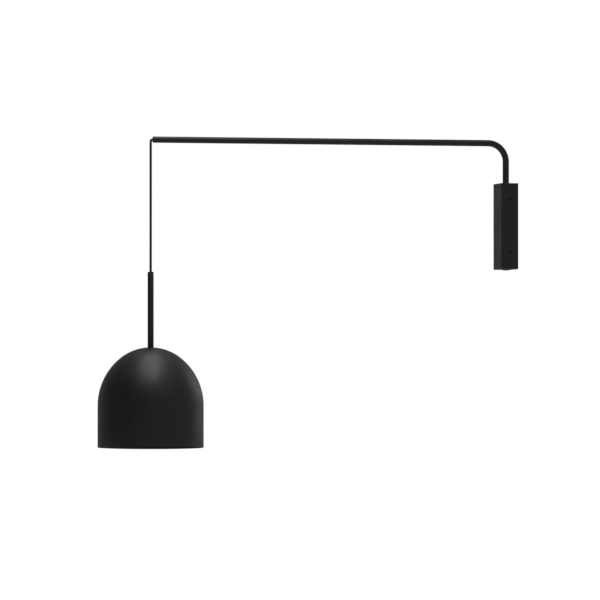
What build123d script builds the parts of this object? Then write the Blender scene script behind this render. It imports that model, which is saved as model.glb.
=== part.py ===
"""Hanging pendant wall sconce.

A tube turns in a slim wall box, rises out of it and reaches out over the room. A fabric cord runs
through the tube, comes out at its mouth and carries a stem with a domed bell shade.

Sizes are in millimetres. The wall is the plane Y = 0 and the lamp stands out towards -Y. +Z is up,
and the origin is the middle of the wall box's rear face.
"""

import math
import os

from build123d import *

# Wall box: a cover of folded sheet over a channel that is screwed to the wall
box_width = 58.0
box_depth = 33.0
box_height = 162.4
cover_sheet = 1.5
cover_edge_radius = 1.0
cover_slip = 0.2
bracket_sheet = 2.0
bracket_end_gap = 5.7
bracket_flange = 24.0
bracket_bend_radius = 1.5
wall_screw_spacing = 120.0
wall_screw_hole = 5.0

# Socket screws through the sides of the cover, in nuts welded inside the channel
cover_screw_spacing = 100.0
cover_screw_diameter = 4.0
cover_screw_length = 8.0
cover_screw_recess = 0.8
cover_hole_gap = 0.15
weld_nut_width = 7.0
weld_nut_height = 3.2
hex_socket = 2.0
hex_socket_depth = 2.5

# Arm: one bent tube, upright through the box and then level
tube_diameter = 12.0
tube_wall = 1.0
arm_rise = 76.2
arm_reach = 689.0
arm_bend_radius = 35.0
tube_below_box = 0.5

# Bushes, thrust washer and collars that carry the tube in the box
bush_wall = 1.5
bush_flange_radius = 11.0
bush_flange_height = 2.5
bush_sleeve = 5.0
running_gap = 0.05
thrust_washer_height = 1.0
thrust_gap = 0.1
upper_collar_gap = 0.5
collar_radius = 11.0
collar_height = 9.0
end_plug_head = 1.2
end_plug_radius = 5.8
plug_spigot = 8.0

# Cord, its side hole in the tube and its bush in the tube's mouth
cord_diameter = 4.5
cord_clearance = 0.1
cord_bend_radius = 4.5
cord_fall = 249.6
lead_hole_height = 44.0
lead_hole_diameter = 8.0
lead_turn_radius = 5.0
bush_flange = 1.2
bush_edge_radius = 0.8
bush_lip_radius = 0.6
mouth_spigot = 15.0

# Wiring on the channel, beside the tube
terminal_width = 15.6
terminal_height = 12.0
terminal_length = 20.0
terminal_top = -4.0
terminal_poles = 3
terminal_pitch = 5.0
terminal_screw_diameter = 3.0
terminal_screw_length = 3.0
terminal_screw_sink = 1.0
terminal_screw_spacing = 10.0
screw_slot = 0.8
saddle_height = 10.0
saddle_width = 15.6
saddle_length = 7.0
saddle_cover = 2.5
saddle_screw_spacing = 10.6
saddle_screw_diameter = 3.0
saddle_head_diameter = 4.8
saddle_head_height = 1.8
lead_end_height = 2.5
core_diameter = 1.4
core_spread = 1.5
core_bend_radius = 1.2

# Mains cable and earth, on the other side of the tube
cable_hole = 12.0
grommet_wall = 1.5
grommet_flange_radius = 8.0
grommet_flange = 1.5
earth_height = -40.0
earth_screw_diameter = 4.0
earth_head_diameter = 8.0
earth_head_height = 3.0
earth_washer_diameter = 10.0
earth_washer = 0.8

# Stem and bell shade
stem_diameter = 11.5
stem_wall = 0.9
stem_length = 142.5
stem_plug_head = 1.0
stem_plug_spigot = 10.0
stem_edge_bevel = 0.3
shade_radius = 100.0
shade_wall = 1.2
shade_dome_rise = 110.0
shade_skirt = 79.0
shade_seat_radius = 9.0
shade_rim_bevel = 0.3

# Nipple, washer and nut that hold the shade to the stem
nipple_radius = 5.0
nipple_bore = 6.0
nipple_spigot = 14.0
thread_gap = 0.1
washer_inset = 0.2
washer_height = 1.2
nut_width = 14.0
nut_height = 4.0

# Lampholder with an Edison screw of 27 mm
holder_radius = 19.5
holder_wall = 2.0
cap_neck_radius = 9.0
cap_neck_height = 4.0
cap_thread = 8.0
cap_height = 24.0
body_height = 33.0
body_taper = 1.5
body_spigot = 4.0
insert_radius = 16.0
insert_height = 8.0
insert_drop = 2.0
insert_side_gap = 0.1
shell_radius = 14.2
shell_wall = 0.6
shell_length = 20.0
contact_radius = 4.0
contact_height = 0.8
contact_rivet_radius = 2.0
grip_radius = 7.0
grip_height = 5.0
lamp_lead_diameter = 1.6
lamp_lead_circle = 1.25
lamp_lead_count = 3

# Bulb: screw cap and opal globe
bulb_cap_radius = 13.2
bulb_cap_wall = 0.8
bulb_cap_length = 26.0
bulb_button_radius = 4.5
bulb_button_height = 1.5
bulb_cone_radius = 11.0
bulb_cone_height = 4.0
bulb_contact_gap = 0.2
globe_radius = 30.0
globe_wall = 1.0
globe_drop = 46.0
globe_neck_gap = 0.1
globe_shoulder_angle = 35.0
globe_neck_fillet = 20.0
globe_neck_inside = 10.0

# Places that follow from the sizes
box_top = box_height / 2
bracket_height = box_height - 2 * (cover_sheet + bracket_end_gap)
swivel_y = -box_depth / 2
arm_z = box_top + arm_rise
mouth_y = swivel_y - arm_reach
cord_y = mouth_y - cord_bend_radius
swing_z = arm_z - cord_bend_radius
stem_top = arm_z - cord_fall
stem_foot = stem_top - stem_length
tube_radius = tube_diameter / 2
tube_bore_radius = tube_radius - tube_wall
cord_radius = cord_diameter / 2
cord_hole_radius = cord_radius + cord_clearance
stem_radius = stem_diameter / 2
stem_bore_radius = stem_radius - stem_wall
channel_half_width = box_width / 2 - cover_sheet - cover_slip
channel_inside = channel_half_width - bracket_sheet
wiring_x = channel_inside - bracket_bend_radius - terminal_width / 2
service_x = bracket_bend_radius + grommet_flange_radius - channel_inside

swivel_axis = Axis((0, swivel_y, 0), (0, 0, 1))
swivel_section = Plane(origin=(0, swivel_y, 0), x_dir=(1, 0, 0), z_dir=(0, -1, 0))
drop_axis = Axis((0, cord_y, 0), (0, 0, 1))
drop_section = Plane(origin=(0, cord_y, 0), x_dir=(1, 0, 0), z_dir=(0, -1, 0))


def side_planes(distance):
    """A plane for each cover screw, facing outwards at that distance from the middle."""
    return [
        Plane(origin=(side * distance, swivel_y, row), x_dir=(0, 0, 1), z_dir=(side, 0, 0))
        for side in (-1, 1)
        for row in (-cover_screw_spacing / 2, cover_screw_spacing / 2)
    ]


def cord_radii(points):
    """The largest arc that each corner of a cord's route has room for."""
    runs = [Vector(*b) - Vector(*a) for a, b in zip(points, points[1:])]
    radii = []
    for before, after in zip(runs, runs[1:]):
        half_turn = math.radians(before.get_angle(after)) / 2
        radii.append(0.45 * min(before.length, after.length) / math.tan(half_turn))
    return radii


# ---------------------------------------------------------------- wall box

with BuildPart() as wall_bracket:
    with BuildSketch(Plane.XY.offset(-bracket_height / 2)):
        with Locations((0, 0)):
            Rectangle(2 * channel_half_width, bracket_flange, align=(Align.CENTER, Align.MAX))
        fillet(vertices().group_by(Axis.Y)[-1], bracket_bend_radius + bracket_sheet)
    extrude(amount=bracket_height)
    with BuildSketch(Plane.XY.offset(-bracket_height / 2)):
        with Locations((0, -bracket_sheet)):
            Rectangle(2 * channel_inside, bracket_flange, align=(Align.CENTER, Align.MAX))
        fillet(vertices().group_by(Axis.Y)[-1], bracket_bend_radius)
    extrude(amount=bracket_height, mode=Mode.SUBTRACT)
    with BuildSketch(Plane.XZ):
        with Locations((0, wall_screw_spacing / 2), (0, -wall_screw_spacing / 2)):
            Circle(wall_screw_hole / 2)
        with Locations((service_x, 0)):
            Circle(cable_hole / 2)
        with Locations((service_x, earth_height)):
            Circle(earth_screw_diameter / 2)
        with Locations(
            (wiring_x - saddle_screw_spacing / 2, saddle_height),
            (wiring_x + saddle_screw_spacing / 2, saddle_height),
        ):
            Circle(saddle_screw_diameter / 2)
    extrude(amount=bracket_sheet, mode=Mode.SUBTRACT)
    with BuildSketch(*side_planes(channel_half_width)):
        Circle(cover_screw_diameter / 2)
    extrude(amount=-bracket_sheet, mode=Mode.SUBTRACT)

with BuildPart() as weld_nuts:
    with BuildSketch(*side_planes(channel_inside)):
        RegularPolygon(weld_nut_width / 2, 6, major_radius=False)
        Circle(cover_screw_diameter / 2, mode=Mode.SUBTRACT)
    extrude(amount=-weld_nut_height)

with BuildPart() as cover_box:
    Box(box_width, box_depth, box_height, align=(Align.CENTER, Align.MAX, Align.CENTER))
    fillet(edges().filter_by_position(Axis.Y, -box_depth, -cover_sheet / 2), cover_edge_radius)
    Box(
        box_width - 2 * cover_sheet,
        box_depth - cover_sheet,
        box_height - 2 * cover_sheet,
        align=(Align.CENTER, Align.MAX, Align.CENTER),
        mode=Mode.SUBTRACT,
    )
    with BuildSketch(Plane.XY.offset(-box_top)):
        with Locations((0, swivel_y)):
            Circle(tube_radius + running_gap + bush_wall)
    extrude(amount=box_height, mode=Mode.SUBTRACT)
    with BuildSketch(*side_planes(box_width / 2)):
        Circle(cover_screw_diameter / 2 + cover_hole_gap)
    extrude(amount=-cover_sheet, mode=Mode.SUBTRACT)

with BuildPart() as cover_screws:
    with BuildSketch(*side_planes(box_width / 2 - cover_screw_recess)):
        Circle(cover_screw_diameter / 2)
    extrude(amount=-cover_screw_length)
    with BuildSketch(*side_planes(box_width / 2 - cover_screw_recess)):
        RegularPolygon(hex_socket / 2, 6, major_radius=False)
    extrude(amount=-hex_socket_depth, mode=Mode.SUBTRACT)

# Each bush fills its hole in the cover, with its flange and sleeve inside
bush_bore = tube_radius + running_gap
bush_barrel = bush_bore + bush_wall
bush_seat = box_top - cover_sheet
bush_end = bush_seat - bush_flange_height - bush_sleeve

with BuildPart() as top_bush:
    with BuildSketch(swivel_section):
        with BuildLine():
            Polyline(
                (bush_bore, box_top),
                (bush_barrel, box_top),
                (bush_barrel, bush_seat),
                (bush_flange_radius, bush_seat),
                (bush_flange_radius, bush_seat - bush_flange_height),
                (bush_barrel, bush_seat - bush_flange_height),
                (bush_barrel, bush_end),
                (bush_bore, bush_end),
                close=True,
            )
        make_face()
    revolve(axis=swivel_axis)

with BuildPart() as bottom_bush:
    add(mirror(top_bush.part, Plane.XY, mode=Mode.PRIVATE))

washer_top = thrust_washer_height - bush_end

with BuildPart() as thrust_washer:
    with BuildSketch(Plane.XY.offset(-bush_end)):
        with Locations((0, swivel_y)):
            Circle(bush_flange_radius)
            Circle(bush_bore, mode=Mode.SUBTRACT)
    extrude(amount=thrust_washer_height)

with BuildPart() as cable_grommet:
    with BuildSketch(Plane.XZ):
        with Locations((service_x, 0)):
            Circle(cable_hole / 2)
    extrude(amount=bracket_sheet)
    with BuildSketch(Plane.XZ.offset(bracket_sheet)):
        with Locations((service_x, 0)):
            Circle(grommet_flange_radius)
    extrude(amount=grommet_flange)
    with BuildSketch(Plane.XZ):
        with Locations((service_x, 0)):
            Circle(cable_hole / 2 - grommet_wall)
    extrude(amount=bracket_sheet + grommet_flange, mode=Mode.SUBTRACT)

# ---------------------------------------------------------------- wiring in the box

plate_front = Plane.XZ.offset(bracket_sheet)
entry_y = -bracket_sheet - cord_radius
terminal_bottom = terminal_top - terminal_length
pole_places = [
    (wiring_x + terminal_pitch * (pole - (terminal_poles - 1) / 2), entry_y)
    for pole in range(terminal_poles)
]

with BuildPart() as terminal_block:
    with BuildSketch(plate_front):
        with Locations((wiring_x, (terminal_top + terminal_bottom) / 2)):
            Rectangle(terminal_width, terminal_length)
    extrude(amount=terminal_height)
    with BuildSketch(Plane.XY.offset(terminal_bottom)):
        with Locations(*pole_places):
            Circle(core_diameter / 2 + cord_clearance)
    extrude(amount=terminal_length, mode=Mode.SUBTRACT)
    with BuildSketch(plate_front.offset(terminal_height)):
        with Locations((wiring_x, (terminal_top + terminal_bottom) / 2)):
            with GridLocations(terminal_pitch, terminal_screw_spacing, terminal_poles, 2):
                Circle(terminal_screw_diameter / 2)
    extrude(amount=-terminal_screw_length - terminal_screw_sink, mode=Mode.SUBTRACT)

with BuildPart() as terminal_screws:
    with BuildSketch(plate_front.offset(terminal_height - terminal_screw_sink)):
        with Locations((wiring_x, (terminal_top + terminal_bottom) / 2)):
            with GridLocations(terminal_pitch, terminal_screw_spacing, terminal_poles, 2):
                Circle(terminal_screw_diameter / 2)
    extrude(amount=-terminal_screw_length)
    with BuildSketch(plate_front.offset(terminal_height - terminal_screw_sink)):
        with Locations((wiring_x, (terminal_top + terminal_bottom) / 2)):
            with GridLocations(terminal_pitch, terminal_screw_spacing, terminal_poles, 2):
                Rectangle(terminal_screw_diameter, screw_slot)
    extrude(amount=-screw_slot, mode=Mode.SUBTRACT)

saddle_screw_places = [
    (wiring_x - saddle_screw_spacing / 2, saddle_height),
    (wiring_x + saddle_screw_spacing / 2, saddle_height),
]

with BuildPart() as cord_saddle:
    with BuildSketch(plate_front):
        with Locations((wiring_x, saddle_height)):
            Rectangle(saddle_width, saddle_length)
        with Locations(*saddle_screw_places):
            Circle(saddle_screw_diameter / 2, mode=Mode.SUBTRACT)
    extrude(amount=cord_diameter + saddle_cover)
    with BuildSketch(Plane.XY.offset(saddle_height - saddle_length / 2)):
        with Locations((wiring_x, -bracket_sheet)):
            Rectangle(cord_diameter, cord_radius, align=(Align.CENTER, Align.MAX))
        with Locations((wiring_x, entry_y)):
            Circle(cord_radius)
    extrude(amount=saddle_length, mode=Mode.SUBTRACT)

with BuildPart() as saddle_screws:
    with BuildSketch(Plane.XZ):
        with Locations(*saddle_screw_places):
            Circle(saddle_screw_diameter / 2)
    extrude(amount=bracket_sheet + cord_diameter + saddle_cover)
    with BuildSketch(plate_front.offset(cord_diameter + saddle_cover)):
        with Locations(*saddle_screw_places):
            Circle(saddle_head_diameter / 2)
    extrude(amount=saddle_head_height)
    with BuildSketch(plate_front.offset(cord_diameter + saddle_cover + saddle_head_height)):
        with Locations(*saddle_screw_places):
            Rectangle(saddle_head_diameter, screw_slot)
    extrude(amount=-screw_slot, mode=Mode.SUBTRACT)

with BuildPart() as earth_screw:
    with BuildSketch(Plane.XZ):
        with Locations((service_x, earth_height)):
            Circle(earth_screw_diameter / 2)
    extrude(amount=bracket_sheet)
    with BuildSketch(plate_front):
        with Locations((service_x, earth_height)):
            Circle(earth_washer_diameter / 2)
    extrude(amount=earth_washer)
    with BuildSketch(plate_front.offset(earth_washer)):
        with Locations((service_x, earth_height)):
            Circle(earth_head_diameter / 2)
    extrude(amount=earth_head_height)
    with BuildSketch(plate_front.offset(earth_washer + earth_head_height)):
        with Locations((service_x, earth_height)):
            Rectangle(earth_head_diameter, screw_slot)
    extrude(amount=-screw_slot, mode=Mode.SUBTRACT)

# The slack lead from the tube's side hole, under the saddle and on to the terminals
lead_route = [
    (tube_radius, swivel_y, lead_hole_height),
    (13.5, swivel_y, lead_hole_height),
    (19.0, swivel_y, 38.5),
    (19.0, swivel_y, 31.0),
    (wiring_x, entry_y, 21.0),
    (wiring_x, entry_y, lead_end_height),
]
lead_radii = cord_radii(lead_route)
print("swivel_lead radii", [round(radius, 1) for radius in lead_radii])

with BuildPart() as swivel_lead:
    with BuildLine() as lead_line:
        FilletPolyline(*lead_route, radius=lead_radii)
    with BuildSketch(Plane(lead_line.line @ 0, z_dir=lead_line.line % 0)):
        Circle(cord_radius)
    sweep()

with BuildPart() as lead_cores:
    for place, (pole_x, pole_y) in enumerate(pole_places):
        start_x = wiring_x + core_spread * (place - (terminal_poles - 1) / 2)
        with BuildLine() as core_line:
            if math.isclose(start_x, pole_x):
                Line((start_x, pole_y, lead_end_height), (pole_x, pole_y, terminal_top))
            else:
                FilletPolyline(
                    (start_x, pole_y, lead_end_height),
                    (start_x, pole_y, lead_end_height - core_bend_radius),
                    (pole_x, pole_y, terminal_top + core_bend_radius),
                    (pole_x, pole_y, terminal_top),
                    radius=core_bend_radius,
                )
        with BuildSketch(Plane(core_line.line @ 0, z_dir=core_line.line % 0)):
            Circle(core_diameter / 2)
        sweep(path=core_line.line)

# ---------------------------------------------------------------- arm

tube_foot = -box_top - tube_below_box

with BuildPart() as arm_tube:
    with BuildLine() as arm_line:
        FilletPolyline(
            (0, swivel_y, tube_foot),
            (0, swivel_y, arm_z),
            (0, mouth_y + bush_flange, arm_z),
            radius=arm_bend_radius,
        )
    with BuildSketch(Plane(arm_line.line @ 0, z_dir=arm_line.line % 0)):
        Circle(tube_radius)
        Circle(tube_bore_radius, mode=Mode.SUBTRACT)
    sweep()
    with BuildSketch(Plane(origin=(0, swivel_y, lead_hole_height), z_dir=(1, 0, 0))):
        Circle(lead_hole_diameter / 2)
    extrude(amount=tube_diameter, mode=Mode.SUBTRACT)

lower_collar_foot = washer_top + thrust_gap
upper_collar_foot = bush_end - upper_collar_gap - collar_height
collar_screw_planes = [
    Plane(origin=(0, swivel_y + collar_radius, foot + collar_height / 2), z_dir=(0, 1, 0))
    for foot in (lower_collar_foot, upper_collar_foot)
]

with BuildPart() as lower_collar:
    with BuildSketch(Plane.XY.offset(lower_collar_foot)):
        with Locations((0, swivel_y)):
            Circle(collar_radius)
            Circle(tube_radius, mode=Mode.SUBTRACT)
    extrude(amount=collar_height)
    with BuildSketch(collar_screw_planes[0]):
        Circle(cover_screw_diameter / 2)
    extrude(amount=tube_radius - collar_radius, mode=Mode.SUBTRACT)

with BuildPart() as upper_collar:
    with BuildSketch(Plane.XY.offset(upper_collar_foot)):
        with Locations((0, swivel_y)):
            Circle(collar_radius)
            Circle(tube_radius, mode=Mode.SUBTRACT)
    extrude(amount=collar_height)
    with BuildSketch(collar_screw_planes[1]):
        Circle(cover_screw_diameter / 2)
    extrude(amount=tube_radius - collar_radius, mode=Mode.SUBTRACT)

with BuildPart() as collar_screws:
    with BuildSketch(*collar_screw_planes):
        Circle(cover_screw_diameter / 2)
        RegularPolygon(hex_socket / 2, 6, major_radius=False, mode=Mode.SUBTRACT)
    extrude(amount=-hex_socket_depth)
    with BuildSketch(*[plane.offset(-hex_socket_depth) for plane in collar_screw_planes]):
        Circle(cover_screw_diameter / 2)
    extrude(amount=tube_radius - collar_radius + hex_socket_depth)

with BuildPart() as tube_end_plug:
    with BuildSketch(Plane.XY.offset(tube_foot)):
        with Locations((0, swivel_y)):
            Circle(end_plug_radius)
    extrude(amount=-end_plug_head)
    chamfer(edges().group_by(Axis.Z)[0], end_plug_head / 3)
    with BuildSketch(Plane.XY.offset(tube_foot)):
        with Locations((0, swivel_y)):
            Circle(tube_bore_radius)
    extrude(amount=plug_spigot)

with BuildPart() as mouth_bush:
    with BuildSketch(Plane(origin=(0, mouth_y, arm_z), z_dir=(0, 1, 0))):
        Circle(tube_radius)
    extrude(amount=bush_flange)
    fillet(edges().group_by(Axis.Y)[0], bush_edge_radius)
    with BuildSketch(Plane(origin=(0, mouth_y + bush_flange, arm_z), z_dir=(0, 1, 0))):
        Circle(tube_bore_radius)
    extrude(amount=mouth_spigot)
    with BuildSketch(Plane(origin=(0, mouth_y, arm_z), z_dir=(0, 1, 0))):
        Circle(cord_hole_radius)
    extrude(amount=bush_flange + mouth_spigot, mode=Mode.SUBTRACT)
    mouth_face = faces().sort_by(Axis.Y)[0]
    fillet(mouth_face.edges().sort_by(SortBy.LENGTH)[0], bush_lip_radius)

with BuildPart() as arm_cord:
    with BuildLine() as arm_cord_line:
        FilletPolyline(
            (0, mouth_y, arm_z),
            (0, swivel_y, arm_z),
            (0, swivel_y, lead_hole_height),
            (tube_radius, swivel_y, lead_hole_height),
            radius=[arm_bend_radius, lead_turn_radius],
        )
    with BuildSketch(Plane(arm_cord_line.line @ 0, z_dir=arm_cord_line.line % 0)):
        Circle(cord_radius)
    sweep()

# ---------------------------------------------------------------- free cord

with BuildPart() as cord_bend:
    with BuildLine(Plane.YZ) as bend_line:
        CenterArc((mouth_y, swing_z), cord_bend_radius, 90, 90)
    with BuildSketch(Plane(bend_line.line @ 0, z_dir=bend_line.line % 0)):
        Circle(cord_radius)
    sweep()

with BuildPart() as cord_drop:
    with BuildSketch(Plane.XY.offset(stem_top)):
        with Locations((0, cord_y)):
            Circle(cord_radius)
    extrude(amount=swing_z - stem_top)

# ---------------------------------------------------------------- stem and shade

with BuildPart() as stem_plug:
    with BuildSketch(Plane.XY.offset(stem_top)):
        with Locations((0, cord_y)):
            Circle(stem_radius)
    extrude(amount=-stem_plug_head)
    chamfer(edges().group_by(Axis.Z)[-1], stem_edge_bevel)
    with BuildSketch(Plane.XY.offset(stem_top - stem_plug_head)):
        with Locations((0, cord_y)):
            Circle(stem_bore_radius)
    extrude(amount=-stem_plug_spigot)
    with BuildSketch(Plane.XY.offset(stem_top)):
        with Locations((0, cord_y)):
            Circle(cord_hole_radius)
    extrude(amount=-stem_plug_head - stem_plug_spigot, mode=Mode.SUBTRACT)

with BuildPart() as stem_tube:
    with BuildSketch(Plane.XY.offset(stem_foot)):
        with Locations((0, cord_y)):
            Circle(stem_radius)
            Circle(stem_bore_radius, mode=Mode.SUBTRACT)
    extrude(amount=stem_length - stem_plug_head)

# The dome is turned from two arcs that meet smoothly: a round crown with a flat seat for the
# stem, and a slightly flatter side that starts upright at the skirt
crown_radius = shade_radius**2 / shade_dome_rise
crown_step = shade_radius - crown_radius
crown_reach = 1 + shade_dome_rise / shade_radius
side_offset = crown_step * (crown_reach**2 - 1) / 2
side_radius = shade_radius + side_offset
side_angle = math.degrees(math.atan2(2 * crown_reach, crown_reach**2 - 1))
crown_centre = stem_foot - math.sqrt(crown_radius**2 - shade_seat_radius**2)
shade_centre = crown_centre - crown_step * crown_reach
shade_rim = shade_centre - shade_skirt
seat_under = stem_foot - shade_wall
shade_hole_radius = nipple_radius + thread_gap

with BuildPart() as shade:
    with BuildSketch(drop_section):
        with BuildLine():
            for depth, seat in ((0, stem_foot), (shade_wall, seat_under)):
                turn = crown_radius - depth
                seat_angle = math.degrees(math.asin((seat - crown_centre) / turn))
                side = CenterArc((-side_offset, shade_centre), side_radius - depth, 0, side_angle)
                crown = CenterArc((0, crown_centre), turn, side_angle, seat_angle - side_angle)
                Line(side @ 0, (shade_radius - depth, shade_rim))
                Line(crown @ 1, (shade_hole_radius, seat))
            Line((shade_radius, shade_rim), (shade_radius - shade_wall, shade_rim))
            Line((shade_hole_radius, stem_foot), (shade_hole_radius, seat_under))
        make_face()
        chamfer(vertices().group_by(Axis.Y)[0], shade_rim_bevel)
    revolve(axis=drop_axis)

washer_under = seat_under - washer_height
nut_under = washer_under - nut_height
nipple_end = nut_under - cap_thread

with BuildPart() as stem_nipple:
    with BuildSketch(Plane.XY.offset(stem_foot)):
        with Locations((0, cord_y)):
            Circle(stem_bore_radius)
    extrude(amount=nipple_spigot)
    with BuildSketch(Plane.XY.offset(nipple_end)):
        with Locations((0, cord_y)):
            Circle(nipple_radius)
    extrude(amount=stem_foot - nipple_end)
    with BuildSketch(Plane.XY.offset(nipple_end)):
        with Locations((0, cord_y)):
            Circle(nipple_bore / 2)
    extrude(amount=stem_foot + nipple_spigot - nipple_end, mode=Mode.SUBTRACT)

with BuildPart() as shade_washer:
    with BuildSketch(Plane.XY.offset(washer_under)):
        with Locations((0, cord_y)):
            Circle(shade_seat_radius - washer_inset)
            Circle(nipple_radius + thread_gap, mode=Mode.SUBTRACT)
    extrude(amount=washer_height)

with BuildPart() as shade_nut:
    with BuildSketch(Plane.XY.offset(nut_under)):
        with Locations((0, cord_y)):
            RegularPolygon(nut_width / 2, 6, major_radius=False)
            Circle(nipple_radius, mode=Mode.SUBTRACT)
    extrude(amount=nut_height)

# ---------------------------------------------------------------- lampholder

cap_foot = nut_under - cap_height
cap_inside_radius = holder_radius - holder_wall
cap_neck_foot = nut_under - cap_neck_height
cap_shoulder = holder_radius - cap_neck_radius

with BuildPart() as lampholder_cap:
    with BuildSketch(drop_section):
        with BuildLine():
            Polyline(
                (nipple_radius, nut_under),
                (cap_neck_radius, nut_under),
                (cap_neck_radius, cap_neck_foot),
                (holder_radius, cap_neck_foot - cap_shoulder),
                (holder_radius, cap_foot),
                (cap_inside_radius, cap_foot),
                (cap_inside_radius, nipple_end - cap_shoulder),
                (cap_inside_radius - cap_shoulder, nipple_end),
                (nipple_radius, nipple_end),
                close=True,
            )
        make_face()
    revolve(axis=drop_axis)

insert_top = cap_foot - insert_drop
insert_foot = insert_top - insert_height
body_foot = cap_foot - body_height

with BuildPart() as lampholder_body:
    with BuildSketch(drop_section):
        with BuildLine():
            Polyline(
                (holder_radius, cap_foot),
                (holder_radius - body_taper, body_foot),
                (shell_radius, body_foot),
                (shell_radius, insert_foot),
                (insert_radius + insert_side_gap, insert_foot),
                (insert_radius + insert_side_gap, cap_foot + body_spigot),
                (cap_inside_radius, cap_foot + body_spigot),
                (cap_inside_radius, cap_foot),
                close=True,
            )
        make_face()
    revolve(axis=drop_axis)

with BuildPart() as lampholder_insert:
    with BuildSketch(Plane.XY.offset(insert_foot)):
        with Locations((0, cord_y)):
            Circle(insert_radius)
            Circle(contact_rivet_radius, mode=Mode.SUBTRACT)
    extrude(amount=insert_height)

with BuildPart() as centre_contact:
    with BuildSketch(Plane.XY.offset(insert_foot)):
        with Locations((0, cord_y)):
            Circle(contact_radius)
    extrude(amount=-contact_height)
    with BuildSketch(Plane.XY.offset(insert_foot)):
        with Locations((0, cord_y)):
            Circle(contact_rivet_radius)
    extrude(amount=insert_height)

with BuildPart() as screw_shell:
    with BuildSketch(Plane.XY.offset(insert_foot - shell_length)):
        with Locations((0, cord_y)):
            Circle(shell_radius)
            Circle(shell_radius - shell_wall, mode=Mode.SUBTRACT)
    extrude(amount=shell_length)

with BuildPart() as cord_grip:
    with BuildSketch(Plane.XY.offset(nipple_end - grip_height)):
        with Locations((0, cord_y)):
            Circle(grip_radius)
            Circle(cord_radius, mode=Mode.SUBTRACT)
    extrude(amount=grip_height)

with BuildPart() as stem_cord:
    with BuildSketch(Plane.XY.offset(nipple_end - grip_height)):
        with Locations((0, cord_y)):
            Circle(cord_radius)
    extrude(amount=stem_top - nipple_end + grip_height)

with BuildPart() as lamp_leads:
    with BuildSketch(Plane.XY.offset(insert_top)):
        with Locations((0, cord_y)):
            with PolarLocations(lamp_lead_circle, lamp_lead_count):
                Circle(lamp_lead_diameter / 2)
    extrude(amount=nipple_end - grip_height - insert_top)

# ---------------------------------------------------------------- bulb

bulb_top = insert_foot - contact_height - bulb_contact_gap
cone_top = bulb_top - bulb_button_height
cone_foot = cone_top - bulb_cone_height
thread_top = cone_foot - (bulb_cap_radius - bulb_cone_radius)
bulb_cap_foot = bulb_top - bulb_cap_length

with BuildPart() as bulb_cap:
    with BuildSketch(drop_section):
        with BuildLine():
            Polyline(
                (0, bulb_top),
                (bulb_button_radius, bulb_top),
                (bulb_button_radius, cone_top),
                (bulb_cone_radius, cone_foot),
                (bulb_cap_radius, thread_top),
                (bulb_cap_radius, bulb_cap_foot),
                (bulb_cap_radius - bulb_cap_wall, bulb_cap_foot),
                (bulb_cap_radius - bulb_cap_wall, thread_top - bulb_cap_wall),
                (0, thread_top - bulb_cap_wall),
                close=True,
            )
        make_face()
    revolve(axis=drop_axis)

globe_centre = bulb_cap_foot - globe_drop
globe_neck_radius = bulb_cap_radius - bulb_cap_wall - globe_neck_gap
shoulder = math.radians(globe_shoulder_angle)


# The globe is turned twice, the second time a wall's thickness smaller, which hollows it
with BuildPart() as bulb_globe:
    for depth, step in ((0, Mode.ADD), (globe_wall, Mode.SUBTRACT)):
        ball = globe_radius - depth
        neck = globe_neck_radius - depth
        side = (ball * math.cos(shoulder), globe_centre + ball * math.sin(shoulder))
        neck_foot = side[1] + (side[0] - neck) / math.tan(shoulder)
        neck_top = bulb_cap_foot + globe_neck_inside
        with BuildSketch(drop_section):
            with BuildLine():
                FilletPolyline(
                    (neck, neck_top), (neck, neck_foot), side, radius=globe_neck_fillet + depth
                )
                CenterArc(
                    (0, globe_centre), ball, globe_shoulder_angle, -90 - globe_shoulder_angle
                )
                Polyline((0, globe_centre - ball), (0, neck_top), (neck, neck_top))
            make_face()
        revolve(axis=drop_axis, mode=step)

# ---------------------------------------------------------------- files

pieces = {
    "wall_bracket": wall_bracket,
    "weld_nuts": weld_nuts,
    "cover_box": cover_box,
    "cover_screws": cover_screws,
    "top_bush": top_bush,
    "bottom_bush": bottom_bush,
    "thrust_washer": thrust_washer,
    "cable_grommet": cable_grommet,
    "terminal_block": terminal_block,
    "terminal_screws": terminal_screws,
    "cord_saddle": cord_saddle,
    "saddle_screws": saddle_screws,
    "earth_screw": earth_screw,
    "swivel_lead": swivel_lead,
    "lead_cores": lead_cores,
    "arm_tube": arm_tube,
    "lower_collar": lower_collar,
    "upper_collar": upper_collar,
    "collar_screws": collar_screws,
    "tube_end_plug": tube_end_plug,
    "mouth_bush": mouth_bush,
    "arm_cord": arm_cord,
    "cord_bend": cord_bend,
    "cord_drop": cord_drop,
    "stem_plug": stem_plug,
    "stem_tube": stem_tube,
    "stem_nipple": stem_nipple,
    "shade": shade,
    "shade_washer": shade_washer,
    "shade_nut": shade_nut,
    "lampholder_cap": lampholder_cap,
    "lampholder_body": lampholder_body,
    "lampholder_insert": lampholder_insert,
    "centre_contact": centre_contact,
    "screw_shell": screw_shell,
    "cord_grip": cord_grip,
    "stem_cord": stem_cord,
    "lamp_leads": lamp_leads,
    "bulb_cap": bulb_cap,
    "bulb_globe": bulb_globe,
}

cord_section = math.pi * cord_radius**2
for cord, line in ((swivel_lead, lead_line), (arm_cord, arm_cord_line), (cord_bend, bend_line)):
    length = sum(edge.length for edge in line.line.edges())
    print("cord volume over section times length", round(cord.part.volume / cord_section / length, 4))

os.makedirs("parts", exist_ok=True)
for name, piece in pieces.items():
    piece.part.label = name
    export_step(piece.part, f"parts/{name}.step")
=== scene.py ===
"""Dresses the pendant wall sconce: powder coat, braided cord, metals, plastics, bulb and studio."""

import math

import bmesh
import bpy
from mathutils import Matrix, Vector


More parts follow.
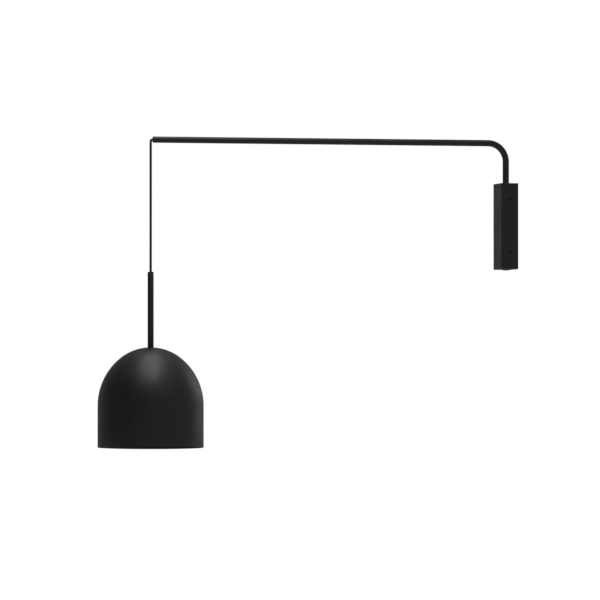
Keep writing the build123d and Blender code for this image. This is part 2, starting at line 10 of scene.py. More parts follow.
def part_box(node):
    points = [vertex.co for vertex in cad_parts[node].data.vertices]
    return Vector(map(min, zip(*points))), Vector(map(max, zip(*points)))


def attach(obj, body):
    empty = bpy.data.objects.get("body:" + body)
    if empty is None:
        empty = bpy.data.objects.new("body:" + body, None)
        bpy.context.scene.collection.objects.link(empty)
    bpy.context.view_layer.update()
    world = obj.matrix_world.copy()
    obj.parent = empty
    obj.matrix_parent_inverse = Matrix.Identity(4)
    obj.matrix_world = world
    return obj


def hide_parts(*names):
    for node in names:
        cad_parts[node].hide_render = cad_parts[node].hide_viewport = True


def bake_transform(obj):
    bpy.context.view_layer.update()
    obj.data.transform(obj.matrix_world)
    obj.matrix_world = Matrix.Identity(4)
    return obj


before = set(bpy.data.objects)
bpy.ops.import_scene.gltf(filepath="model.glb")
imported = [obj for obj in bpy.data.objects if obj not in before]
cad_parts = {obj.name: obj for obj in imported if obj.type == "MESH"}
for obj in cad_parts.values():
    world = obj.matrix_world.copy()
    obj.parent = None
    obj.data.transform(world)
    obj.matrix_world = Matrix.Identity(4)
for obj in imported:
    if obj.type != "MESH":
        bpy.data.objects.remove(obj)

bl_info = {
    "name": "Pendant wall sconce",
    "version": (1, 0, 0),
    "blender": (4, 5, 0),
    "location": "3D View > Sidebar > Sconce",
    "description": "Models and finishes a swivelling wall sconce with a bell shade on a cord",
    "category": "Object",
}

FULL_TURN = 2 * math.pi
UP = Vector((0, 0, 1))
MERGE_DISTANCE = 1e-6


def middle(node):
    """Middle of a node's box at rest."""
    low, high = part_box(node)
    return (Vector(low) + Vector(high)) / 2


def low_z(node):
    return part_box(node)[0][2]


def high_z(node):
    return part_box(node)[1][2]


def radius_of(node):
    """Radius of a node that is round about an upright axis."""
    low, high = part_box(node)
    return (high[0] - low[0]) / 2


# Places that the pieces share, in metres
SWIVEL = Vector((0, middle("lower_collar")[1], 0))
DROP = Vector((0, middle("stem_tube")[1], 0))
ARM_HEIGHT = middle("mouth_bush")[2]
MOUTH = Vector((0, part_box("mouth_bush")[0][1], ARM_HEIGHT))
LEAD_HOLE_HEIGHT = 0.044
LEAD_HOLE_RADIUS = 0.004

# Colours that the pieces share, and the sizes of the marks in their finish, in metres
COAT_BLACK = (0.0036, 0.0036, 0.0038)
NYLON_BLACK = (0.012, 0.012, 0.0125)
NYLON_WHITE = (0.62, 0.61, 0.58)
ZINC = (0.56, 0.56, 0.55)
BRASS = (0.62, 0.46, 0.2)
BROWN_BLUE_GREEN = ((0.13, 0.045, 0.02), (0.02, 0.06, 0.28), (0.2, 0.28, 0.03))
COAT_GRAIN = 0.0007
COAT_DEPTH = 0.00006
SCRATCH_DEPTH = 0.00002
MOULD_DEPTH = 0.00003

# Materials


class Wire:
    """A node socket that adds, multiplies and compares like a number."""

    def __init__(self, graph, socket):
        self.graph = graph
        self.socket = socket

    def maths(self, operation, *terms):
        return self.graph.node("ShaderNodeMath", {"operation": operation}, dict(enumerate(terms)))

    def __add__(self, other):
        return self.maths("ADD", self, other)

    def __radd__(self, other):
        return self.maths("ADD", other, self)

    def __sub__(self, other):
        return self.maths("SUBTRACT", self, other)

    def __rsub__(self, other):
        return self.maths("SUBTRACT", other, self)

    def __mul__(self, other):
        return self.maths("MULTIPLY", self, other)

    def __rmul__(self, other):
        return self.maths("MULTIPLY", other, self)

    def __mod__(self, other):
        return self.maths("FLOORED_MODULO", self, other)

    def __rmod__(self, other):
        return self.maths("FLOORED_MODULO", other, self)

    def __gt__(self, other):
        return self.maths("GREATER_THAN", self, other)

    def __lt__(self, other):
        return self.maths("LESS_THAN", self, other)

    def __abs__(self):
        return self.maths("ABSOLUTE", self)


class Graph:
    """The nodes of one material."""

    def __init__(self, name):
        self.material = bpy.data.materials.new(name)
        self.material.use_nodes = True
        self.tree = self.material.node_tree
        self.shader = self.tree.nodes["Principled BSDF"]

    @classmethod
    def of_tree(cls, tree):
        """An empty graph on a node tree that exists already."""
        graph = cls.__new__(cls)
        graph.tree = tree
        tree.nodes.clear()
        return graph

    def node(self, kind, settings=None, inputs=None, output=0):
        made = self.tree.nodes.new(kind)
        for key, value in (settings or {}).items():
            setattr(made, key, value)
        for key, value in (inputs or {}).items():
            self.feed(made.inputs[key], value)
        return None if output is None else Wire(self, made.outputs[output])

    def feed(self, socket, value):
        if isinstance(value, Wire):
            self.tree.links.new(value.socket, socket)
        elif value is not None:
            socket.default_value = value

    def place(self):
        """Object coordinates in metres."""
        return self.node("ShaderNodeTexCoord", output="Object")

    def part_of(self, vector, axis):
        """One coordinate of a vector."""
        return self.node("ShaderNodeSeparateXYZ", None, {0: vector}, axis)

    def along(self, vector, direction):
        """How far a vector goes in a direction."""
        sockets = {0: vector, 1: tuple(direction)}
        return self.node("ShaderNodeVectorMath", {"operation": "DOT_PRODUCT"}, sockets, "Value")

    def ray(self, kind):
        """1 on rays of a kind, and 0 on all others."""
        return self.node("ShaderNodeLightPath", None, None, kind)

    def noise(self, scale, detail=3.0, roughness=0.5, where=None):
        sockets = {"Vector": where or self.place(), "Scale": scale}
        sockets.update({"Detail": detail, "Roughness": roughness})
        return self.node("ShaderNodeTexNoise", None, sockets, "Fac")

    def spots(self, scale):
        """Distance to the nearest of many scattered points."""
        return self.node("ShaderNodeTexVoronoi", None, {"Vector": self.place(), "Scale": scale})

    def ramp(self, factor, low, high, start=0.0, end=1.0):
        """Maps a factor smoothly from start..end to low..high."""
        settings = {"interpolation_type": "SMOOTHSTEP"}
        sockets = {0: factor, 1: start, 2: end, 3: low, 4: high}
        return self.node("ShaderNodeMapRange", settings, sockets)

    def colours(self, factor, first, second):
        """Mixes two colours."""
        sockets = {0: factor, 6: opaque(first), 7: opaque(second)}
        return self.node("ShaderNodeMix", {"data_type": "RGBA"}, sockets, 2)

    def uneven(self, factor, colour, spread):
        """A colour that gets darker and lighter by a share."""
        return self.colours(factor, scaled(colour, 1 - spread), scaled(colour, 1 + spread))

    def bump(self, height, distance, strength):
        sockets = {"Height": height, "Distance": distance, "Strength": strength}
        return self.node("ShaderNodeBump", None, sockets)

    def finish(self, constants, **wires):
        """Sets the shader: plain numbers on its own sockets, and what varies through wires."""
        for key, value in constants.items():
            self.shader.inputs[key].default_value = value
        for key, value in wires.items():
            self.feed(self.shader.inputs[key.replace("_", " ")], value)
        return self.material


def opaque(colour):
    """A colour with its alpha, or a wire as it is."""
    return colour if isinstance(colour, Wire) else (*colour[:3], 1.0)


def scaled(colour, factor):
    """A colour made darker or lighter."""
    return tuple(min(1.0, part * factor) for part in colour[:3])


def powder_coat(name, colour, roughness, grain=COAT_GRAIN, specular=0.5):
    """Matt powder coat: a fine orange peel, with a soft cloudiness in its gloss."""
    graph = Graph(name)
    peel = graph.noise(1 / grain, detail=2.0, roughness=0.55)
    cloud = graph.noise(28.0, detail=4.0)
    fleck = graph.spots(1 / (0.45 * grain))
    return graph.finish(
        {"IOR": 1.45, "Specular IOR Level": specular},
        Base_Color=graph.uneven(cloud, colour, 0.14),
        Roughness=graph.ramp(cloud + 0.25 * peel, roughness - 0.05, roughness + 0.06, 0.3, 0.9),
        Normal=graph.bump(peel + 0.35 * fleck, COAT_DEPTH, 0.35),
    )


def plated(name, colour, roughness, blotch=0.08):
    """Plated or drawn metal with fine wandering scratches and uneven tone."""
    graph = Graph(name)
    sockets = {"Vector": graph.place(), "Scale": (1.0, 1.0, 9.0)}
    stretched = graph.node("ShaderNodeMapping", None, sockets)
    scratches = graph.noise(420.0, detail=5.0, roughness=0.7, where=stretched)
    cloud = graph.noise(55.0)
    return graph.finish(
        {"Metallic": 1.0},
        Base_Color=graph.uneven(cloud, colour, blotch),
        Roughness=graph.ramp(scratches, roughness - 0.07, roughness + 0.1, 0.3, 0.7),
        Normal=graph.bump(scratches, SCRATCH_DEPTH, 0.4),
    )


def moulded(name, colour, roughness, grain):
    """Moulded plastic with a spark-eroded grain."""
    graph = Graph(name)
    texture = graph.noise(1 / grain, roughness=0.6)
    cloud = graph.noise(70.0, detail=2.0)
    return graph.finish(
        {"IOR": 1.5, "Specular IOR Level": 0.4},
        Base_Color=graph.uneven(cloud, colour, 0.06),
        Roughness=graph.ramp(texture, roughness - 0.05, roughness + 0.07, 0.3, 0.7),
        Normal=graph.bump(texture, MOULD_DEPTH, 0.5),
    )


def phenolic(name, colour):
    """Pressed phenolic: glossy, with the wood filler just showing as darker swirls."""
    graph = Graph(name)
    swirl = graph.noise(160.0, detail=6.0, roughness=0.65)
    fine = graph.noise(2200.0, detail=2.0)
    return graph.finish(
        {"IOR": 1.6, "Specular IOR Level": 0.45},
        Base_Color=graph.colours(swirl, scaled(colour, 0.7), scaled(colour, 1.5)),
        Roughness=graph.ramp(swirl, 0.26, 0.38, 0.35, 0.65),
        Normal=graph.bump(fine, 0.00001, 0.4),
    )


def steatite(name, colour):
    """Fired ceramic with grey pin specks and a thin glaze."""
    graph = Graph(name)
    speck = graph.ramp(graph.spots(1900.0), 1.0, 0.0, 0.08, 0.2)
    cloud = graph.noise(90.0)
    body = graph.colours(cloud, scaled(colour, 0.93), scaled(colour, 1.05))
    return graph.finish(
        {"IOR": 1.55, "Coat Roughness": 0.12},
        Base_Color=graph.colours(speck, body, scaled(colour, 0.55)),
        Roughness=graph.ramp(cloud, 0.3, 0.45),
        Coat_Weight=graph.ramp(cloud, 0.25, 0.5),
        Normal=graph.bump(cloud, 0.00004, 0.4),
    )


def rubber(name, colour):
    """Rubber with a dusty bloom."""
    graph = Graph(name)
    bloom = graph.noise(120.0, detail=5.0)
    return graph.finish(
        {"IOR": 1.52, "Specular IOR Level": 0.3},
        Base_Color=graph.colours(bloom, colour, scaled(colour, 1.6)),
        Roughness=graph.ramp(bloom, 0.62, 0.8),
        Normal=graph.bump(graph.noise(1500.0), MOULD_DEPTH, 0.4),
    )


def opal(name, colour):
    """Flashed opal glass: a milky body under a clear, slightly wavy skin."""
    graph = Graph(name)
    milk = graph.noise(45.0, detail=2.0)
    return graph.finish(
        {
            "IOR": 1.5,
            "Subsurface Weight": 0.25,
            "Subsurface Radius": (0.004, 0.004, 0.0035),
            "Subsurface Scale": 1.0,
            "Coat Roughness": 0.06,
        },
        Base_Color=graph.colours(milk, scaled(colour, 0.96), colour),
        Roughness=graph.ramp(milk, 0.2, 0.3),
        Coat_Weight=graph.ramp(milk, 0.5, 0.6),
        Normal=graph.bump(milk, 0.0001, 0.2),
    )


def braid_yarn(name, colour):
    """Yarn of a braided flex. The strands are in the mesh, and this adds their filaments."""
    graph = Graph(name)
    around = graph.node("ShaderNodeUVMap", {"uv_map": "braid"})
    turn = graph.part_of(around, "X")
    travel = graph.part_of(around, "Y")
    first = abs((turn + travel) % 1.0 - 0.5)
    second = abs((turn - travel) % 1.0 - 0.5)
    filaments = graph.noise(5200.0, roughness=0.7)
    fuzz = graph.noise(900.0, detail=2.0)
    tone = graph.ramp(fuzz + 0.5 * filaments + 0.2 * (first - second), 0.0, 1.0, 0.55, 0.95)
    return graph.finish(
        {"IOR": 1.45, "Specular IOR Level": 0.25, "Sheen Weight": 0.25, "Sheen Roughness": 0.5},
        Base_Color=graph.colours(tone, scaled(colour, 0.6), scaled(colour, 1.7)),
        Roughness=graph.ramp(fuzz, 0.7, 0.85),
        Normal=graph.bump(filaments, 0.00006, 0.6),
    )


def plain_braid(name, colour):
    """The same braid for the stretches of cord that lie hidden in the tubes."""
    graph = Graph(name)
    weave = graph.spots(1400.0)
    return graph.finish(
        {"IOR": 1.45, "Specular IOR Level": 0.25},
        Base_Color=graph.colours(weave, scaled(colour, 1.5), scaled(colour, 0.5)),
        Roughness=graph.ramp(weave, 0.72, 0.85),
        Normal=graph.bump(weave, 0.0001, 0.6),
    )


def core_insulation(name, centre, pitch):
    """Three insulated cores side by side, each in its own colour, told apart by where they lie."""
    graph = Graph(name)
    side = graph.part_of(graph.place(), "X")
    brown, blue, green = BROWN_BLUE_GREEN
    gloss = graph.noise(600.0)
    first_two = graph.colours(side > centre - pitch / 2, brown, blue)
    return graph.finish(
        {"IOR": 1.5},
        Base_Color=graph.colours(side > centre + pitch / 2, first_two, green),
        Roughness=graph.ramp(gloss, 0.35, 0.45),
        Normal=graph.bump(gloss, 0.00002, 0.3),
    )


# Shared modelling


def spin_about(bm, axis_at, angle=FULL_TURN, steps=96, axis=UP, geom=None):
    """Turns the geometry about an axis. A full turn is merged."""
    made = bmesh.ops.spin(
        bm,
        geom=geom or bm.verts[:] + bm.edges[:],
        cent=axis_at,
        axis=axis,
        angle=angle,
        steps=steps,
        use_merge=math.isclose(abs(angle), FULL_TURN),
        use_duplicate=False,
    )
    return made["geom_last"]


def join_up(bm, verts, closed=False):
    """Joins vertices in their order with edges."""
    for pair in zip(verts, verts[1:] + verts[: int(closed)]):
        bm.edges.new(pair)


def turned(profile, steps=96, closed=True, bevel=0.0, segments=2, sharp=35):
    """A round piece of the pendant: radius and height pairs, turned about its upright axis."""
    bm = bmesh.new()
    chain = [bm.verts.new((DROP.x + radius, DROP.y, height)) for radius, height in profile]
    join_up(bm, chain, closed)
    spin_about(bm, DROP, steps=steps)
    clean(bm)
    if bevel:
        limit = math.radians(sharp)
        edges = [e for e in bm.edges if e.is_manifold and e.calc_face_angle(0.0) > limit]
        ease_edges(bm, edges, bevel, segments)
    return bm


def clean(bm):
    """Merges doubles and poles, and turns the faces outwards."""
    bmesh.ops.remove_doubles(bm, verts=bm.verts, dist=MERGE_DISTANCE)
    bmesh.ops.dissolve_degenerate(bm, edges=bm.edges, dist=MERGE_DISTANCE)
    bmesh.ops.recalc_face_normals(bm, faces=bm.faces)


def ease_edges(bm, edges, offset, segments):
    """Rounds edges."""
    bmesh.ops.bevel(
        bm,
        geom=edges,
        offset=offset,
        offset_type="OFFSET",
        affect="EDGES",
        segments=segments,
        profile=0.5,
        material=-1,
        clamp_overlap=True,
    )


def thicken(bm, wall):
    """Gives a shell its wall, on the inside."""
    bmesh.ops.solidify(bm, geom=bm.faces[:], thickness=wall)


def face_away(bm):
    """Turns the faces of a round shell of the pendant away from its axis."""
    outwards = 0.0
    for face in bm.faces:
        outwards += face.normal.xy.dot((face.calc_center_median() - DROP).xy)
    if outwards < 0:
        bmesh.ops.reverse_faces(bm, faces=bm.faces)


def raise_ribs(bm, low, high, radius, height):
    """Raises every second face of a turned wall, between two heights, into a grip rib."""
    wall = []
    for face in bm.faces:
        where = face.calc_center_median() - DROP
        if low < where.z < high and where.xy.length > 0.98 * radius and face.normal.z < 0.5:
            wall.append((math.atan2(where.y, where.x), face))
    wall.sort(key=lambda pair: pair[0])
    ribs = [face for _, face in wall[::2]]
    bmesh.ops.inset_individual(bm, faces=ribs, thickness=height / 2, depth=height)


def as_object(bm, name):
    mesh = bpy.data.meshes.new(name)
    bm.to_mesh(mesh)
    bm.free()
    made = bpy.data.objects.new(name, mesh)
    bpy.context.scene.collection.objects.link(made)
    return made


def drill(piece, centre, axis, radius, length, steps=40):
    """Drills a round hole through a piece."""
    bm = bmesh.new()
    turn = Vector(axis).to_track_quat("Z", "Y").to_matrix().to_4x4()
    bmesh.ops.create_cone(
        bm,
        cap_ends=True,
        segments=steps,
        radius1=radius,
        radius2=radius,
        depth=length,
        matrix=Matrix.Translation(centre) @ turn,
    )
    cutter = as_object(bm, piece.name + "_cutter")
    modifier = piece.modifiers.new("Cut", "BOOLEAN")
    modifier.operation = "DIFFERENCE"
    modifier.solver = "EXACT"
    modifier.object = cutter
    depsgraph = bpy.context.evaluated_depsgraph_get()
    finished = bpy.data.meshes.new_from_object(piece.evaluated_get(depsgraph))
    piece.modifiers.clear()
    piece.data = finished
    finished.name = piece.name
    bpy.data.objects.remove(cutter)


def dress(piece, material, body, slot, *replaced, sharp=40):
    """Gives a finished piece its shading, material and body, and hides the nodes that it replaces.
    """
    mesh = piece.data
    mesh.shade_smooth()
    mesh.set_sharp_from_angle(angle=math.radians(sharp))
    mesh.materials.clear()
    mesh.materials.append(material)
    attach(piece, body)
    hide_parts(*replaced)


def coat_nodes(material, *nodes):
    """Gives carried-over nodes their material."""
    for node in nodes:
        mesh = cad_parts[node].data
        mesh.materials.clear()
        mesh.materials.append(material)


# Properties


def a_colour(name, default, description):
    return bpy.props.FloatVectorProperty(
        name=name,
        description=description,
        subtype="COLOR",
        size=3,
        min=0.0,
        max=1.0,
        default=default,
    )


def a_number(name, default, description, **more):
    return bpy.props.FloatProperty(name=name, description=description, default=default, **more)


def a_length(name, default, description):
    return a_number(name, default, description, unit="LENGTH")


def a_share(name, default, description):
    return a_number(name, default, description, min=0.0, max=1.0)


def an_angle(name, degrees, description):
    return a_number(name, math.radians(degrees), description, subtype="ANGLE")


class ShadeSettings(bpy.types.PropertyGroup):
    """Sizes and colour of the bell shade"""

    wall: a_length("Wall", 0.0012, "Thickness of the spun sheet")
    rise: a_length("Dome rise", 0.110, "Height of the dome above the straight skirt")
    flat: a_length("Flat", 0.009, "Radius of the flat that the stem stands on")
    hole: a_length("Hole", 0.0051, "Radius of the hole for the nipple")
    edge_radius: a_length("Edge radius", 0.0004, "Rounding of the rim's edges")
    colour: a_colour("Colour", COAT_BLACK, "Powder coat of the shade")
    roughness: a_share("Roughness", 0.5, "How matt the coat is")
    lining: a_share("Lining", 0.7, "How matt the coat is inside")


class MetalworkSettings(bpy.types.PropertyGroup):
    """Sizes and colour of the wall box, the arm and the stem"""

    edge_radius: a_length("Edge radius", 0.001, "Rounding of the box's edges")
    sheet: a_length("Sheet", 0.0015, "Thickness of the box's sheet")
    bush_hole: a_length("Bush hole", 0.00755, "Radius of the holes for the tube's bushes")
    screw_hole: a_length("Screw hole", 0.00215, "Radius of the cover's screw holes")
    screw_spacing: a_length("Screw spacing", 0.1, "Height between the two screws on a side")
    tube_wall: a_length("Tube wall", 0.001, "Wall of the arm's tube")
    bend_radius: a_length("Bend radius", 0.035, "Radius of the arm's bend, at the tube's middle")
    stem_wall: a_length("Stem wall", 0.0009, "Wall of the stem's tube")
    colour: a_colour("Colour", COAT_BLACK, "Powder coat of the box, arm and stem")
    roughness: a_share("Roughness", 0.48, "How matt the coat is")


class CordSettings(bpy.types.PropertyGroup):
    """Size, braid and colour of the fabric cord"""

    diameter: a_length("Diameter", 0.0045, "Mean diameter over the braid")
    carriers: bpy.props.IntProperty(
        name="Carriers",
        description="Strands of the braid in each direction",
        default=8,
        min=4,
        max=16,
    )
    lay: a_length("Lay", 0.0105, "Length in which a strand goes once round")
    relief: a_length("Relief", 0.00022, "How far the strands stand proud")
    colour: a_colour("Colour", (0.006, 0.006, 0.0065), "Yarn of the braid")


class BulbSettings(bpy.types.PropertyGroup):
    """Thread and glass of the bulb and its holder"""

    thread_pitch: a_length("Thread pitch", 0.00363, "Pitch of the Edison thread")
    thread_depth: a_length("Thread depth", 0.0007, "Depth of the bulb's rolled thread")
    holder_depth: a_length("Holder depth", 0.0003, "Depth of the holder's rolled thread")
    holder_wall: a_length("Holder wall", 0.002, "Wall of the lampholder's cap")
    rib_height: a_length("Rib height", 0.0004, "Height of the cap's grip ribs")
    glass: a_colour("Glass", (0.86, 0.85, 0.82), "Opal glass of the globe")


class StudioSettings(bpy.types.PropertyGroup):
    """Camera, lamps and floor"""

    distance: a_length("Camera distance", 50.0, "From the camera to the sconce")
    span: a_length("Picture span", 1.132, "Width of the scene that the picture takes in")
    azimuth: an_angle("Azimuth", 75.2, "How far round from the front the camera stands")
    elevation: an_angle("Elevation", -2.0, "How far above the level the camera stands")
    ambient: a_share("Ambient", 0.57, "Strength of the studio's even light")
    gloss: bpy.props.FloatVectorProperty(
        name="Room in the gloss",
        description="Brightness of the room in reflections, at its left, right and far side",
        size=3,
        min=0.0,
        default=(0.01, 0.35, 0.25),
    )
    floor_height: a_length("Floor", -2.2, "Height of the floor")
    fade_start: a_length("Fade start", 2.5, "Distance at which the floor starts to fade")
    fade_end: a_length("Fade end", 3.9, "Distance from which the floor is white")
    floor_colour: a_colour("Floor colour", (0.7, 0.7, 0.7), "Pale studio floor")


def settings(name):
    return getattr(bpy.context.scene, "sconce_" + name)


# Wall box


class SCONCE_OT_wall_box(bpy.types.Operator):
    """Folded cover of the wall box, with its screw holes and the holes for the tube"""

    bl_idname = "sconce.wall_box"
    bl_label = "Wall box"

    def execute(self, context):
        metal = settings("metalwork")
        low, high = (Vector(corner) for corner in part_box("cover_box"))
        size = high - low
        bm = bmesh.new()
        bmesh.ops.create_cube(bm, size=1.0)
        bmesh.ops.scale(bm, vec=size, verts=bm.verts)
        bmesh.ops.translate(bm, vec=(low + high) / 2, verts=bm.verts)
        back = [f for f in bm.faces if f.normal.y > 0.9]
        bmesh.ops.delete(bm, geom=back, context="FACES_ONLY")
        folds = [e for e in bm.edges if e.is_manifold]
        ease_edges(bm, folds, metal.edge_radius, segments=4)
        thicken(bm, metal.sheet)
        bmesh.ops.recalc_face_normals(bm, faces=bm.faces)
        box = as_object(bm, "wall_box_cover")
        drill(box, SWIVEL, UP, metal.bush_hole, 2 * size.z, steps=72)
        for side in (1, -1):
            hole = Vector((0, middle("cover_screws")[1], side * metal.screw_spacing / 2))
            drill(box, hole, (1, 0, 0), metal.screw_hole, 1.2 * size.x)
        normals = box.modifiers.new("Flat faces", "WEIGHTED_NORMAL")
        normals.keep_sharp = True
        coat = powder_coat("Box coat", metal.colour, metal.roughness)
        dress(box, coat, "wall_base", "box_coat", "cover_box")
        coat_nodes(plated("Black oxide", (0.01, 0.01, 0.011), 0.45), "cover_screws")
        return {"FINISHED"}


class SCONCE_OT_box_fittings(bpy.types.Operator):
    """Finishes for the bracket, nuts, bushes, collars and wiring that the cover holds"""

    bl_idname = "sconce.box_fittings"
    bl_label = "Box fittings"

    def execute(self, context):
        zinc = plated("Zinc plate", ZINC, 0.34, blotch=0.14)
        coat_nodes(zinc, "wall_bracket", "weld_nuts", "lower_collar", "upper_collar")
        coat_nodes(zinc, "saddle_screws")
        coat_nodes(moulded("Black nylon", NYLON_BLACK, 0.52, 0.0004), "top_bush", "bottom_bush")
        coat_nodes(moulded("White nylon", NYLON_WHITE, 0.45, 0.0005), "thrust_washer")
        terminal_nylon = moulded("Terminal nylon", NYLON_WHITE, 0.4, 0.0006)
        coat_nodes(terminal_nylon, "terminal_block", "cord_saddle")
        coat_nodes(rubber("Grommet rubber", (0.022, 0.022, 0.022)), "cable_grommet")
        coat_nodes(plated("Screw brass", BRASS, 0.3), "terminal_screws", "earth_screw")
        coat_nodes(plated("Set screw steel", (0.03, 0.03, 0.032), 0.4), "collar_screws")
        cores = core_insulation("Core insulation", middle("lead_cores")[0], 0.003)
        coat_nodes(cores, "lead_cores")
        return {"FINISHED"}


# Arm


def bent_tube(foot, corner, mouth, radius, wall, bend_radius):
    """An upright tube that turns through a right angle and runs level to its mouth."""
    bm = bmesh.new()
    bmesh.ops.create_circle(bm, segments=64, radius=radius, matrix=Matrix.Translation(foot))

    def run(edges, by):
        """Draws a ring of edges out into a straight length, and gives the ring at its end."""
        grown = bmesh.ops.extrude_edge_only(bm, edges=edges)["geom"]
        ends = [g for g in grown if isinstance(g, bmesh.types.BMVert)]
        bmesh.ops.translate(bm, vec=by, verts=ends)
        drawn = [g for g in grown if isinstance(g, bmesh.types.BMEdge)]
        return [edge for edge in drawn if all(vert in ends for vert in edge.verts)]

    out = (mouth - corner).normalized()
    top = run(bm.edges[:], UP * (corner.z - bend_radius - foot.z))
    last = spin_about(
        bm,
        corner + (out - UP) * bend_radius,
        angle=math.pi / 2,
        steps=36,
        axis=UP.cross(out),
        geom=top + list({vert for edge in top for vert in edge.verts}),
    )
    end = [g for g in last if isinstance(g, bmesh.types.BMEdge)]
    run(end, out * ((mouth - corner).length - bend_radius))
    clean(bm)
    thicken(bm, wall)
    bmesh.ops.recalc_face_normals(bm, faces=bm.faces)
    return bm


class SCONCE_OT_arm(bpy.types.Operator):
    """Bent tube of the arm, with the plug in its foot and the bush in its mouth"""

    bl_idname = "sconce.arm"
    bl_label = "Arm"

    def execute(self, context):
        metal = settings("metalwork")
        low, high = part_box("arm_tube")
        radius = (high[0] - low[0]) / 2
        foot = Vector((0, SWIVEL.y, low[2]))
        corner = Vector((0, SWIVEL.y, ARM_HEIGHT))
        mouth = Vector((0, low[1], ARM_HEIGHT))
        bm = bent_tube(foot, corner, mouth, radius, metal.tube_wall, metal.bend_radius)
        tube = as_object(bm, "arm_tube_coated")
        side_hole = Vector((radius, SWIVEL.y, LEAD_HOLE_HEIGHT))
        drill(tube, side_hole, (1, 0, 0), LEAD_HOLE_RADIUS, radius)
        coat = powder_coat("Arm coat", metal.colour, metal.roughness)
        dress(tube, coat, "arm", "arm_coat", "arm_tube")
        nylon = moulded("Plug nylon", NYLON_BLACK, 0.5, 0.0004)
        coat_nodes(nylon, "tube_end_plug", "mouth_bush")
        coat_nodes(plain_braid("Hidden braid", settings("cord").colour), "arm_cord", "stem_cord")
        return {"FINISHED"}


# Cord


def smooth_route(points):
    """Points read along the NURBS spline of a route."""
    curve = bpy.data.curves.new("route", "CURVE")
    curve.dimensions = "3D"
    curve.resolution_u = 48
    spline = curve.splines.new("NURBS")
    spline.points.add(len(points) - 1)
    for point, place in zip(spline.points, points):
        point.co = (*place, 1.0)
    spline.order_u = 3
    spline.use_endpoint_u = True
    holder = bpy.data.objects.new("route", curve)
    bpy.context.scene.collection.objects.link(holder)
    depsgraph = bpy.context.evaluated_depsgraph_get()
    line = bpy.data.meshes.new_from_object(holder.evaluated_get(depsgraph))
    read = [vert.co.copy() for vert in line.vertices]
    bpy.data.objects.remove(holder)
    bpy.data.curves.remove(curve)
    bpy.data.meshes.remove(line)
    return read


def even_steps(points, step):
    """The same line with its points an even step apart."""
    spaced = [points[0].copy()]
    left = step
    for start, end in zip(points, points[1:]):
        run = (end - start).length
        while run >= left:
            start = start + (end - start) * (left / run)
            spaced.append(start.copy())
            run = (end - start).length
            left = step
        left -= run
    if (spaced[-1] - points[-1]).length > step / 2:
        spaced.append(points[-1].copy())
    else:
        spaced[-1] = points[-1].copy()
    return spaced


def strand_height(turn, along, carriers):
    """Height from 0 to 1 of a diamond braid, one over and one under, at a place on the cord."""
    roundness = 0.92
    dip_under = 0.3
    first = carriers * (turn + along)
    second = carriers * (turn - along)
    one = 2 * (first - math.floor(first)) - 1
    other = 2 * (second - math.floor(second)) - 1
    if (math.floor(first) + math.floor(second)) % 2:
        one, other = other, one
    crown = math.sqrt(max(0.0, 1 - roundness * one * one))
    return crown * (1 - dip_under * other * other)


def braided_tube(name, route, cord, around=56, step=0.00022):
    """A mesh tube with the braid's strands in its surface, and the line that it follows."""
    mean_strand = 0.6  # height of the strands on the whole, as a share of their relief
    path = even_steps(smooth_route(route), step)
    core = cord.diameter / 2 - mean_strand * cord.relief
    side = (path[1] - path[0]).normalized().orthogonal().normalized()
    bm = bmesh.new()
    layer = bm.loops.layers.uv.new("braid")
    rings = []
    lengths = []
    travelled = 0.0
    for place, spot in enumerate(path):
        ahead = path[min(place + 1, len(path) - 1)] - path[max(place - 1, 0)]
        ahead.normalize()
        side = (side - ahead * side.dot(ahead)).normalized()
        other = ahead.cross(side)
        if place:
            travelled += (spot - path[place - 1]).length
        along = travelled / cord.lay
        ring = []
        for count in range(around):
            turn = count / around
            angle = FULL_TURN * turn
            height = core + cord.relief * strand_height(turn, along, cord.carriers)
            offset = side * math.cos(angle) + other * math.sin(angle)
            ring.append(bm.verts.new(spot + offset * height))
        rings.append(ring)
        lengths.append(along)
    for row, (ring, following) in enumerate(zip(rings, rings[1:])):
        for count in range(around):
            after = (count + 1) % around
            face = bm.faces.new((ring[count], ring[after], following[after], following[count]))
            for loop, (right, up) in zip(face.loops, ((0, 0), (1, 0), (1, 1), (0, 1))):
                turn = (count + right) / around
                loop[layer].uv = (turn * cord.carriers, lengths[row + up] * cord.carriers)
    bm.faces.new(list(reversed(rings[0])))
    bm.faces.new(rings[-1])
    bmesh.ops.recalc_face_normals(bm, faces=bm.faces)
    flex = as_object(bm, name)
    flex.data.shade_smooth()
    return flex, path


class SCONCE_OT_cord(bpy.types.Operator):
    """Braided cord from the mouth of the tube, over its lip and down to the stem"""

    bl_idname = "sconce.cord"
    bl_label = "Cord"

    def execute(self, context):
        cord = settings("cord")
        route = (
            (0, MOUTH.y, ARM_HEIGHT),
            (0, DROP.y, ARM_HEIGHT),
            (0, DROP.y, ARM_HEIGHT - 0.009),
            (0, DROP.y, ARM_HEIGHT - 0.027),
            (0, DROP.y, high_z("stem_plug")),
        )
        flex, path = braided_tube("fabric_cord", route, cord)
        flex.data.materials.append(braid_yarn("Cord braid", cord.colour))
        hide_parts("cord_bend", "cord_drop")
        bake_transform(flex)
        return {"FINISHED"}


